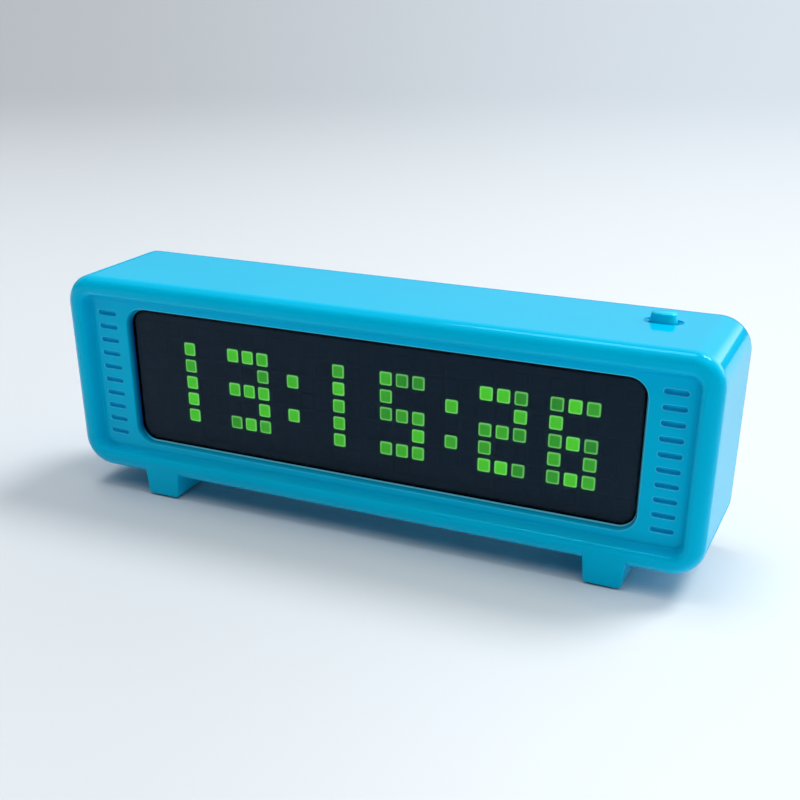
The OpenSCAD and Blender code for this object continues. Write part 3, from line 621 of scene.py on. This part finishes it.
def makeHousing():
    bm, paintedLightLayer = newMesh()
    r0, wall, steps = clock["cornerRadius"], clock["wall"], rim["steps"]
    path = roundedPath(clock["length"], clock["height"], r0, steps, 0, midZ)
    inside, start = r0 - wall, rim["start"]
    rimFoot = r0 - rim["width"] - rim["lean"]
    section = roundCorners([
        (start, clock["panelBack"], 0), (inside, clock["panelBack"], rim["insideRound"]),
        (inside, clock["depth"], rim["lipRound"]), (r0, clock["depth"], rim["rearRound"]),
        (r0, clock["depth"] - rim["rearRound"] - rim["rearStep"], 0),
        (r0, rim["outerRound"] + rim["frontStep"], 0), (r0, 0, rim["outerRound"]),
        (r0 - rim["width"], 0, rim["innerRound"]), (rimFoot, clock["panelDepth"], rim["footRound"]),
        (start, clock["panelDepth"], 0)], rim["edgeSteps"])
    rings = [frontRing(bm, path, r, d) for r, d in section]
    # painted light: a highlight along the front fillet's right side, and painted shade in the recess's inner
    # corner and on the rear round
    rightward = [max(0, ux) for cx, cz, ux, uz in path]
    for place, reach, tone, share in (
            ((r0, rim["outerRound"] * rim["paintedHighlightPlace"]), rim["paintedHighlightReach"], rim["light"], rightward),
            ((rimFoot, clock["panelDepth"]), rim["paintedShadeReach"], rim["dark"], None),
            ((r0, clock["depth"] - rim["rearRound"] / 2), rim["rearPaintedShadeReach"], rim["rearPaintedShade"], None)):
        near = [(Vector(p) - Vector(place)).length < reach for p in section]
        mark(rings, paintedLightLayer, [tone if hit else 0 for hit in near], share)
    longRows = [i for i in range(len(section) - 1) if abs(section[i][1] - section[i + 1][1]) > rim["longRow"]]
    loft(bm, rings, {(row, steps) for row in longRows})
    # the button's hollow and hole, through the two faces of the top wall
    b, walls = button, []
    sizes = [(b["dishLength"], b["dishDepth"]), (b["capLength"] + 2 * b["gap"], b["capDepth"] + 2 * b["gap"])]
    dish, hole = ([(cx + w / 2 * ux, cy + w / 2 * uy, ux, uy) for cx, cy, ux, uy in
                   slotPath(l, w, b["dishSteps"], b["x"], b["depth"])] for l, w in sizes)
    scoop = (b["dishLength"] ** 2 / 4 + b["dishDeep"] ** 2) / (2 * b["dishDeep"])

    def sag(x):  # the hollow is scooped along the clock
        return max(0, math.sqrt(scoop ** 2 - (x - b["x"]) ** 2) - scoop + b["dishDeep"])

    for share, drop in b["dishEdge"]:
        out = share * b["dishLip"]
        walls.append([bm.verts.new(at(x + out * ux, y + out * uy, topZ - drop * sag(x)))
                      for x, y, ux, uy in dish])
    for t in b["dishRows"]:
        spots = [(p[0] + (q[0] - p[0]) * t, p[1] + (q[1] - p[1]) * t) for p, q in zip(dish, hole)]
        walls.append([bm.verts.new(at(x, y, topZ - sag(x))) for x, y in spots])
    walls.append([bm.verts.new(at(x, y, topZ - wall)) for x, y, ux, uy in hole])
    loft(bm, walls)
    # painted light on the hollow: a lighter lip and painted shade down the scoop
    mark(walls, paintedLightLayer, b["dishPaintedLight"])
    inner, outer = longRows
    for row, ring in ((outer, walls[0]), (inner, walls[-1])):
        near, far = rings[row], rings[row + 1]
        fill(bm, [[near[steps], near[steps + 1], far[steps + 1], far[steps]], ring])
    # the window's wall and the grooves beside it
    opening = roundedPath(clock["windowWidth"], clock["windowHeight"], clock["windowRadius"],
                          window["steps"], 0, midZ)
    edge = roundCorners([(window["lead"], clock["panelDepth"], 0),
                         (window["lean"], clock["panelDepth"], window["edge"]),
                         (0, clock["panelBack"], 0)], window["edgeSteps"])[1:]
    thick = clock["panelBack"] - clock["panelDepth"]
    edge[-1:-1] = [(window["lean"] * (clock["panelBack"] - d) / thick, d) for d in window["deep"]]
    sill = lift(bm, opening, [(clock["windowRadius"] + o, d) for o, d in edge])
    # painted highlights along the window's edge and at the lens, painted shade on its walls, darker on the
    # left and lighter along the top and right edges
    left = [max(0, -ux) for cx, cz, ux, uz in opening]
    mark(sill, paintedLightLayer, window["paintedLevels"], [1 - share for share in left])
    mark(sill, paintedLightLayer, window["leftPaintedShade"], left)
    mark(sill, paintedLightLayer, window["upperPaintedHighlight"], [max(0, ux, uz) * (1 - share) for (cx, cz, ux, uz), share in
                                              zip(opening, left)])
    cup, cupPaintedLight = newMesh()
    floorAt = clock["panelDepth"] + groove["depth"]
    slot = slotPath(groove["length"], groove["width"], groove["steps"], 0, midZ)
    dip = roundCorners([(groove["lead"], clock["panelDepth"], 0), (0, clock["panelDepth"], groove["lip"]),
                        (0, floorAt, groove["floorRound"]), (-groove["width"] / 2, floorAt, 0)],
                       groove["edgeSteps"])[1:-1]
    cupRings = lift(cup, slot, [(groove["width"] / 2 + o, d) for o, d in dip])
    # painted highlight along each groove's lip
    mark(cupRings, cupPaintedLight, groove["paintedLevels"])
    fill(cup, [cupRings[-1]])
    addColumns(bm, cup, groove["count"], groove["pitch"], groove["reach"], True)
    mouths = []
    for side in (1, -1):
        for z in columnHeights(groove):
            mouth = slotPath(groove["length"], groove["width"], groove["steps"], side * groove["reach"], z)
            mouths.append(frontRing(bm, mouth, groove["width"] / 2 + groove["lip"], clock["panelDepth"]))
    fill(bm, [rings[-1], sill[0]] + mouths)
    # posts and bosses behind the panel
    stumps = []
    for size, end in ((post, clock["coverBack"]), (boss, boss["end"])):
        r, bevel = size["radius"], stump["bevel"]
        for x, z in fourCorners(size):
            tower = lift(bm, circlePath(stump["steps"], x, z), [
                (r, clock["panelBack"]), (r, end - bevel), (r - bevel, end), (size["bore"], end),
                (size["bore"], end - size["boreDepth"])])
            fill(bm, [tower[-1]])
            stumps.append(tower[0])
    fill(bm, [rings[0], sill[-1]] + stumps)
    return toObject(bm, "frontHousing")


def makeFeet():
    bm, paintedLightLayer = newMesh()
    low, high = foot["lift"], clock["footHeight"]
    r, flare0, top0, top1 = foot["endRound"], foot["frontFlare"], foot["frontTop"], foot["rearTop"]

    def section(x, inset, flare, top):
        w0, w1 = foot["lowWidth"] / 2 - inset, foot["topWidth"] / 2 - inset
        root = foot["root"] * flare
        wide, joint = w1 + root * foot["widen"], high + foot["overlap"]
        half = roundCorners([(0, low + inset, 0), (w0, low + inset, foot["edge"] - inset), (w1, joint, root),
                             (wide, joint, 0), (wide, top, 0)], foot["edgeSteps"])[1:]
        return [(x - a, z) for a, z in reversed(half)] + [(x + a, z) for a, z in half]

    angles = [math.pi / 2 * k / foot["steps"] for k in range(foot["steps"] + 1)]
    turns = [(r * (1 - math.sin(a)), r * (1 - math.cos(a))) for a in angles]
    stations = [(foot["face"] + d, inset, flare0, top0) for inset, d in turns]
    stations += [(foot["flareFrom"], 0, flare0, top0), (foot["flareTo"], 0, 1, top0),
                 (foot["stepBack"], 0, 1, top1)]
    stations += [(foot["length"] - d, inset, 1, top1) for inset, d in reversed(turns)]
    for side in (-1, 1):
        x = foot["shift"] + side * foot["span"] / 2
        rings = [[bm.verts.new(at(a, d, z)) for a, z in section(x, inset, flare, high + top)]
                 for d, inset, flare, top in stations]
        # painted highlight on the feet's front edges
        mark(rings, paintedLightLayer, foot["paintedLevels"])
        loft(bm, rings)
        capEnds(bm, rings)
    return toObject(bm, "feet", 0)


def padPath(side, grow=0.0):  # holds x and depth
    w, l = pad["width"] + 2 * grow, pad["length"] + 2 * grow
    x, d = foot["shift"] + side * foot["span"] / 2, foot["length"] / 2
    return [(x + cz, d + cx, uz, ux) for cx, cz, ux, uz in slotPath(l, w, pad["steps"])], w / 2


def makePadSeats():
    bm = bmesh.new()
    for side in (-1, 1):
        path, r = padPath(side, pad["gap"])
        ends = [(r, foot["lift"] - pad["below"]), (r, foot["lift"] + pad["seat"])]
        capEnds(bm, lift(bm, path, ends, levelRing))
    return toObject(bm, "padSeats")


housing = makeHousing()
cutOrJoin(housing, makeFeet(), "UNION")
cutOrJoin(housing, makePadSeats(), "DIFFERENCE")
finishPiece(smooth(housing), "blue_plastic", "clock_body", "front_housing")
print("front housing made:", len(housing.data.polygons), "faces")


# foot pads


def makePads():
    bm = bmesh.new()
    for side in (-1, 1):
        path, r = padPath(side)
        profile = roundCorners([(0, 0, 0), (r, 0, pad["edge"]), (r, foot["lift"] + pad["seat"], 0)],
                               pad["edgeSteps"])[1:]
        capEnds(bm, lift(bm, path, profile, levelRing))
    return toObject(bm, "footPads")


finishPiece(smooth(makePads()), "pad_rubber", "clock_body", "foot_pads")
print("foot pads made")


# push button


def makeButton():
    bm, paintedLightLayer = newMesh()
    b = button

    def outline(l, w, r):
        return roundedPath(l, w, r, b["steps"], b["x"], b["depth"])

    cap = outline(b["capLength"], b["capDepth"], b["capCorner"])
    flange = outline(b["flangeLength"], b["flangeDepth"], b["flangeCorner"])
    stem = outline(2 * b["stemRadius"], 2 * b["stemRadius"], b["stemRadius"])
    low = b["flangeTop"] - b["flangeThick"]
    r, top = b["capCorner"], topZ + b["proud"]
    rings = [levelRing(bm, stem, b["stemRadius"], z) for z in (b["stemLow"], low)]
    rings += [levelRing(bm, flange, b["flangeCorner"], z) for z in (low, b["flangeTop"])]
    crown = roundCorners([(r, b["flangeTop"], 0), (r, topZ, b["waist"]),
                          (r - b["draft"], top - b["crown"], b["edge"]), (b["crownStart"], top, 0)],
                         b["edgeSteps"])
    walls = [levelRing(bm, cap, o, z) for o, z in crown]
    # painted highlight on the cap's right end, growing towards that end
    along = [(cx + r * ux - b["x"]) / b["capLength"] + 0.5 for cx, cy, ux, uy in cap]
    mark(walls, paintedLightLayer, [b["endPaintedHighlight"]] * len(walls), [max(0, t) ** 2 for t in along])
    rings += walls
    loft(bm, rings)
    capEnds(bm, rings)
    return toObject(bm, "topButton")


finishPiece(smooth(makeButton()), "blue_plastic", "button", "top_button", finish=capPlastic)
print("button made")


# rear cover and its screws

cover = dict(width=153.2, height=44.1, radius=4.9, edge=0.4, backEdge=0.2, holeRadius=1.65, headRadius=3.05,
             headDeep=1.2, lip=0.2, seatRound=0.15, lead=1, steps=12, edgeSteps=5, lipSteps=4, wellSteps=32)
inlet = dict(x=19.6, z=17.8, openLength=9.6, openHeight=3.8, steps=12)
grille = dict(x=54.2, count=5, pitch=2.6, length=9.0, width=1.2, steps=10)
screw = dict(shank=1.4, length=10.0, tip=0.5, taper=1.2, head=2.8, headHeight=1.5, headEdge=0.15, dome=0.5,
             domeEdge=0.3, domeShare=0.62, domeRound=0.8, flatShare=0.2, steps=40, edgeSteps=4,
             crossLength=3.64, crossWidth=0.98, crossDeep=0.75, crossRound=0.2, crossDraft=0.15,
             crossAbove=1, crossSteps=3, seed=4, sharpAngle=35)


def makeCover():
    bm = bmesh.new()
    back, face = clock["coverBack"], clock["coverFace"]
    c = cover
    r0, lead = c["radius"], c["lead"]
    path = roundedPath(c["width"], c["height"], r0, c["steps"], 0, midZ)
    rings = lift(bm, path, roundCorners([
        (r0 - lead, back, 0), (r0, back, c["backEdge"]), (r0, face, c["edge"]), (r0 - lead, face, 0)],
        c["edgeSteps"])[1:-1])
    outside, inside = [rings[-1]], [rings[0]]

    def mouth(r):  # profile of a rounded mouth through the plate
        return roundCorners([(r + lead, face, 0), (r, face, c["lip"]), (r, back, 0)], c["lipSteps"])[1:]

    opening = slotPath(inlet["openLength"], inlet["openHeight"], inlet["steps"], inlet["x"], inlet["z"])
    socket = lift(bm, opening, mouth(inlet["openHeight"] / 2))
    outside.append(socket[0])
    inside.append(socket[-1])
    slits = bmesh.new()
    r = grille["width"] / 2
    lift(slits, slotPath(grille["length"], grille["width"], grille["steps"], 0, midZ), mouth(r))
    addColumns(bm, slits, grille["count"], grille["pitch"], grille["x"], False)
    for z in columnHeights(grille):
        slit = slotPath(grille["length"], grille["width"], grille["steps"], grille["x"], z)
        outside.append(frontRing(bm, slit, r + c["lip"], face))
        inside.append(frontRing(bm, slit, r, back))
    seat = face - c["headDeep"]
    well = roundCorners([(c["headRadius"] + lead, face, 0), (c["headRadius"], face, c["lip"]),
                         (c["headRadius"], seat, c["seatRound"]), (c["holeRadius"], seat, 0),
                         (c["holeRadius"], back, 0)], c["lipSteps"])[1:]
    for x, z in fourCorners(post):
        made = lift(bm, circlePath(c["wellSteps"], x, z), well)
        outside.append(made[0])
        inside.append(made[-1])
    fill(bm, outside)
    fill(bm, inside)
    return toObject(bm, "rearCover")


def makeScrew():
    bm = bmesh.new()
    s = screw
    seat = clock["coverFace"] - cover["headDeep"]
    tip, top = seat - s["length"], seat + s["headHeight"]
    shape = [(s["tip"], tip, 0), (s["shank"], tip + s["taper"], 0), (s["shank"], seat, 0),
             (s["head"], seat, s["headEdge"]), (s["head"], top - s["dome"], s["domeEdge"]),
             (s["head"] * s["domeShare"], top, s["domeRound"]), (s["head"] * s["flatShare"], top, 0)]
    capEnds(bm, lift(bm, circlePath(s["steps"]), roundCorners(shape, s["edgeSteps"])))
    obj = toObject(bm, "coverScrews")
    tool = bmesh.new()
    r = s["crossRound"]
    for l, w in ((s["crossLength"], s["crossWidth"]), (s["crossWidth"], s["crossLength"])):
        ends = [(r, top + s["crossAbove"]), (r - s["crossDraft"], top - s["crossDeep"])]
        capEnds(tool, lift(tool, roundedPath(l, w, r, s["crossSteps"]), ends))
    return cutOrJoin(obj, toObject(tool, "cross", 0), "DIFFERENCE")


finishPiece(smooth(makeCover()), "blue_plastic", "clock_body", "rear_cover")
screws = runTree(makeScrew(), screwTree, {"Span X": 2 * post["x"] * mm, "Span Z": 2 * post["z"] * mm,
                                          "Height": midZ * mm, "Seed": screw["seed"]})
finishPiece(smooth(screws, screw["sharpAngle"]), "screw_steel", "clock_body", "cover_screws")
print("rear cover and screws made")


# pixels

tile = dict(columns=31, rows=7, pitchX=4.0, pitchZ=4.2, drop=0.35, width=3.0, height=3.15, depth=2.4,
            corner=0.45, edge=0.12, faceShare=0.76, litSeed=11, darkSeed=5, front=5.8)
# the mask's glow levels are painted light from the lit guides, on the cells' faces and mouths
mask = dict(width=128.8, height=35.7, radius=5.1, front=5.75, back=9.15, gap=0.05, mouth=0.3, steps=8,
            cellSteps=2, weld=1e-6, glow=(0.1, 0.12, 0.18, 0, 0))
shownTime = "13:15:26"
glyphs = {
    "1": (".#.", ".#.", ".#.", ".#.", ".#."),
    "2": ("###", "..#", "###", "#..", "###"),
    "3": ("###", "..#", "###", "..#", "###"),
    "5": ("###", "#..", "###", "..#", "###"),
    "6": ("###", "#..", "###", "#.#", "###"),
    ":": (".", "#", ".", "#", "."),
}


def litCells():
    width = sum(len(glyphs[c][0]) + 1 for c in shownTime) - 1
    column = (tile["columns"] - width) // 2
    top = (tile["rows"] - len(glyphs["1"])) // 2
    cells = set()
    for c in shownTime:
        for row, line in enumerate(glyphs[c]):
            cells |= {(column + i, top + row) for i, mark in enumerate(line) if mark == "#"}
        column += len(glyphs[c][0]) + 1
    return cells


def cellPoints(name, cells, depth):
    mesh = bpy.data.meshes.new(name)
    topRow = midZ - tile["drop"] + (tile["rows"] - 1) / 2 * tile["pitchZ"]
    mesh.from_pydata([at((c - (tile["columns"] - 1) / 2) * tile["pitchX"], depth, topRow - r * tile["pitchZ"])
                      for c, r in cells], [], [])
    obj = bpy.data.objects.new(name, mesh)
    bpy.context.scene.collection.objects.link(obj)
    return obj


def makeTiles(name, cells, seed, slot, node):
    obj = cellPoints(name, cells, tile["front"] + tile["depth"])
    values = {key.title(): tile[key] * mm for key in ("width", "height", "depth", "corner", "edge")}
    runTree(obj, tileTree, {**values, "Seed": seed, "Face Share": tile["faceShare"], "Finish": slots[slot]})
    return finishPiece(obj, slot, "clock_body", node)


def gridLoop(bm, depth):  # round the field, with a vertex at each cell's corner
    nx, nz = tile["columns"], tile["rows"]
    steps = [(i, 0) for i in range(nx)] + [(nx, k) for k in range(nz)]
    steps += [(nx - i, nz) for i in range(nx)] + [(0, nz - k) for k in range(nz)]
    mid = midZ - tile["drop"]
    return [bm.verts.new(at((i - nx / 2) * tile["pitchX"], depth, mid + (k - nz / 2) * tile["pitchZ"]))
            for i, k in steps]


def makeMask(groups):
    cell = bmesh.new()
    w, h, r = tile["width"] + 2 * mask["gap"], tile["height"] + 2 * mask["gap"], tile["corner"]
    square = roundedPath(tile["pitchX"], tile["pitchZ"], 0, mask["cellSteps"])
    hole = roundedPath(w, h, r, mask["cellSteps"])
    front, back, mouth = mask["front"], mask["back"], mask["mouth"]
    mouthOf = cell.verts.layers.float.new("mouth")
    rings = [frontRing(cell, path, grow, depth - frontY) for path, grow, depth in (
        (square, 0, front), (hole, r + mouth, front), (hole, r, front + mouth), (hole, r, back),
        (square, 0, back))]
    # painted glow at the cells' mouths
    mark(rings, mouthOf, mask["glow"])
    loft(cell, rings)
    one = toObject(cell, "maskCell")
    bm = bmesh.new()
    for cells, leak in groups:
        copies = runTree(cellPoints("cellCopies", cells, 0), cellTree, {"Cell": one, "Leak": leak})
        bm.from_mesh(copies.data)
        bpy.data.objects.remove(copies)
    bpy.data.objects.remove(one)
    path = roundedPath(mask["width"], mask["height"], mask["radius"], mask["steps"], 0, midZ)
    border = lift(bm, path, [(mask["radius"], front), (mask["radius"], back)])
    fill(bm, [border[0], gridLoop(bm, front)])
    fill(bm, [border[1], gridLoop(bm, back)])
    return toObject(bm, "pixelMask", mask["weld"])


lit = litCells()
every = [(c, r) for c in range(tile["columns"]) for r in range(tile["rows"])]
shown = [cell for cell in every if cell in lit]
unlit = [cell for cell in every if cell not in lit]
makeTiles("litTiles", shown, tile["litSeed"], "lit_guide", "lit_pixel_tiles")
makeTiles("darkTiles", unlit, tile["darkSeed"], "dark_guide", "dark_pixel_tiles")
finishPiece(makeMask([(shown, 1.0), (unlit, 0.0)]), "mask_black", "clock_body", "pixel_mask")
print("pixels made:", len(lit), "lit")


# solids that stay as they are take their slot's finish

for part in frame["record"]["subparts"]:
    obj = frame["nodes"][part["node"]]
    obj.data.materials.clear()
    obj.data.materials.append(slots[part["material_slot"]])


# floor, light and camera

camera = dict(place=(0.11012, -0.23496, 0.123625), turn=(63.4677, 0.02496, 24.46876), lens=52.47,
              shiftY=0.16667, sensor=36, clip=(0.01, 50))
# the floor's colours are painted light: darker to the left and far away, where less light falls
floor = dict(size=40.0, nearLeft=(0.66, 0.70, 0.74), nearRight=(0.76, 0.81, 0.85),
             farLeft=(0.40, 0.425, 0.455), farRight=(0.58, 0.64, 0.70), near=0.1, far=1.0, eye=0.26,
             side=0.36, fade=(0.02, 0.14), rough=0.6, specular=0.1)
lights = {
    "windowLight": dict(toward=(0.42, 0.48, 1.0), power=1.6, spread=20, colour=(1.0, 0.99, 0.97)),
    "ceilingLight": dict(toward=(-0.18, 0.04, 1.0), power=0.85, spread=22, colour=(0.98, 0.99, 1.0)),
}
sky = dict(front=[(0.08, 0.6), (0.16, 0.03), (0.68, 0.03), (0.88, 1.5), (1.0, 1.4)],
           back=[(0.13, 0.05), (0.15, 0.42), (0.3, 0.5), (0.5, 0.5), (0.8, 0.35)], colour=(0.97, 0.985, 1.0),
           turn=0.25, right=(0.25, 0.85, 1, 2.2), left=(-0.65, -0.15, 0.6, 1))
pane = dict(x=(0.15, 0.3), y=(0.3, 0.5), low=(0.13, 0.15), high=(0.3, 0.65), strength=1.6)


def makeFloor():
    bm = bmesh.new()
    bmesh.ops.create_grid(bm, x_segments=1, y_segments=1, size=floor["size"] / 2)
    obj = toObject(bm, "floor", 0)
    mat, tree, shader, coords = newMaterial("paleFloor")
    turn = math.radians(camera["turn"][2])
    right = vectorNode(tree, "DOT_PRODUCT", coords, (math.cos(turn), math.sin(turn), 0))
    away = vectorNode(tree, "DOT_PRODUCT", coords, (-math.sin(turn), math.cos(turn), 0))
    ahead = mathNode(tree, "ADD", away, floor["eye"])
    fan = mathNode(tree, "DIVIDE", right, mathNode(tree, "MAXIMUM", ahead, floor["fade"][0]))
    across = rangeOf(tree, fan, -floor["side"], floor["side"], -0.5, 0.5, "SMOOTHSTEP")
    held = mathNode(tree, "MULTIPLY", across, rangeOf(tree, ahead, *floor["fade"], 0, 1, "SMOOTHSTEP"))
    across = mathNode(tree, "ADD", held, 0.5)    # one colour behind the camera
    back = rangeOf(tree, away, floor["near"], floor["far"], 0, 1, "SMOOTHSTEP")
    # painted light: the floor's colour darkens to the left and into the distance
    colour = mixColours(tree, back, mixColours(tree, across, floor["nearLeft"], floor["nearRight"]),
                        mixColours(tree, across, floor["farLeft"], floor["farRight"]))
    plug(tree, shader, {"Base Color": colour, "Roughness": floor["rough"],
                        "Specular IOR Level": floor["specular"]})
    obj.data.materials.append(mat)


def makeLights():
    for name, v in lights.items():
        data = bpy.data.lights.new(name, "SUN")
        data.energy = v["power"]
        data.angle = math.radians(v["spread"])
        data.color = v["colour"]
        obj = bpy.data.objects.new(name, data)
        obj.rotation_euler = Vector(v["toward"]).to_track_quat("Z", "Y").to_euler()
        bpy.context.scene.collection.objects.link(obj)
    world = bpy.data.worlds.new("softRoom")
    bpy.context.scene.world = world
    world.use_nodes = True
    tree = world.node_tree
    coords = addNode(tree, "ShaderNodeTexCoord", (-1200, 0))
    parts = feed(tree, "ShaderNodeSeparateXYZ", (-1000, 0), {0: coords.outputs["Generated"]})
    tone = Vector(sky["colour"])
    walls = [colourRamp(tree, parts["Z"], [(z, tone * level) for z, level in sky[side]])
             for side in ("front", "back")]
    behind = rangeOf(tree, parts["Y"], -sky["turn"], sky["turn"], 0, 1, "SMOOTHSTEP")
    gain = mathNode(tree, "MULTIPLY", *(rangeOf(tree, parts["X"], *sky[side], "SMOOTHSTEP")
                                        for side in ("left", "right")))
    room = tree.nodes["Background"]
    plug(tree, room, {"Color": mixColours(tree, behind, *walls), "Strength": gain})
    level = pane["strength"]
    for axis, key, ends in (("X", "x", (0, 1)), ("Y", "y", (0, 1)), ("Z", "low", (0, 1)),
                            ("Z", "high", (1, 0))):
        edge = rangeOf(tree, parts[axis], *pane[key], *ends, "SMOOTHSTEP")
        level = mathNode(tree, "MULTIPLY", edge, level)
    glass = feed(tree, "ShaderNodeBackground", (0, -300), {"Color": (*tone, 1), "Strength": level})
    both = feed(tree, "ShaderNodeAddShader", (200, 0), {0: room.outputs[0], 1: glass[0]})
    plug(tree, tree.nodes["World Output"], {"Surface": both[0]})


def makeCamera():
    data = bpy.data.cameras.new("camera")
    data.sensor_width = camera["sensor"]
    data.lens = camera["lens"]
    data.shift_y = camera["shiftY"]
    data.clip_start, data.clip_end = camera["clip"]
    obj = bpy.data.objects.new("camera", data)
    obj.location = camera["place"]
    obj.rotation_euler = [math.radians(a) for a in camera["turn"]]
    bpy.context.scene.collection.objects.link(obj)
    bpy.context.scene.camera = obj


makeFloor()
makeLights()
makeCamera()
bpy.context.scene.view_settings.view_transform = "Standard"
print("floor, light and camera made")
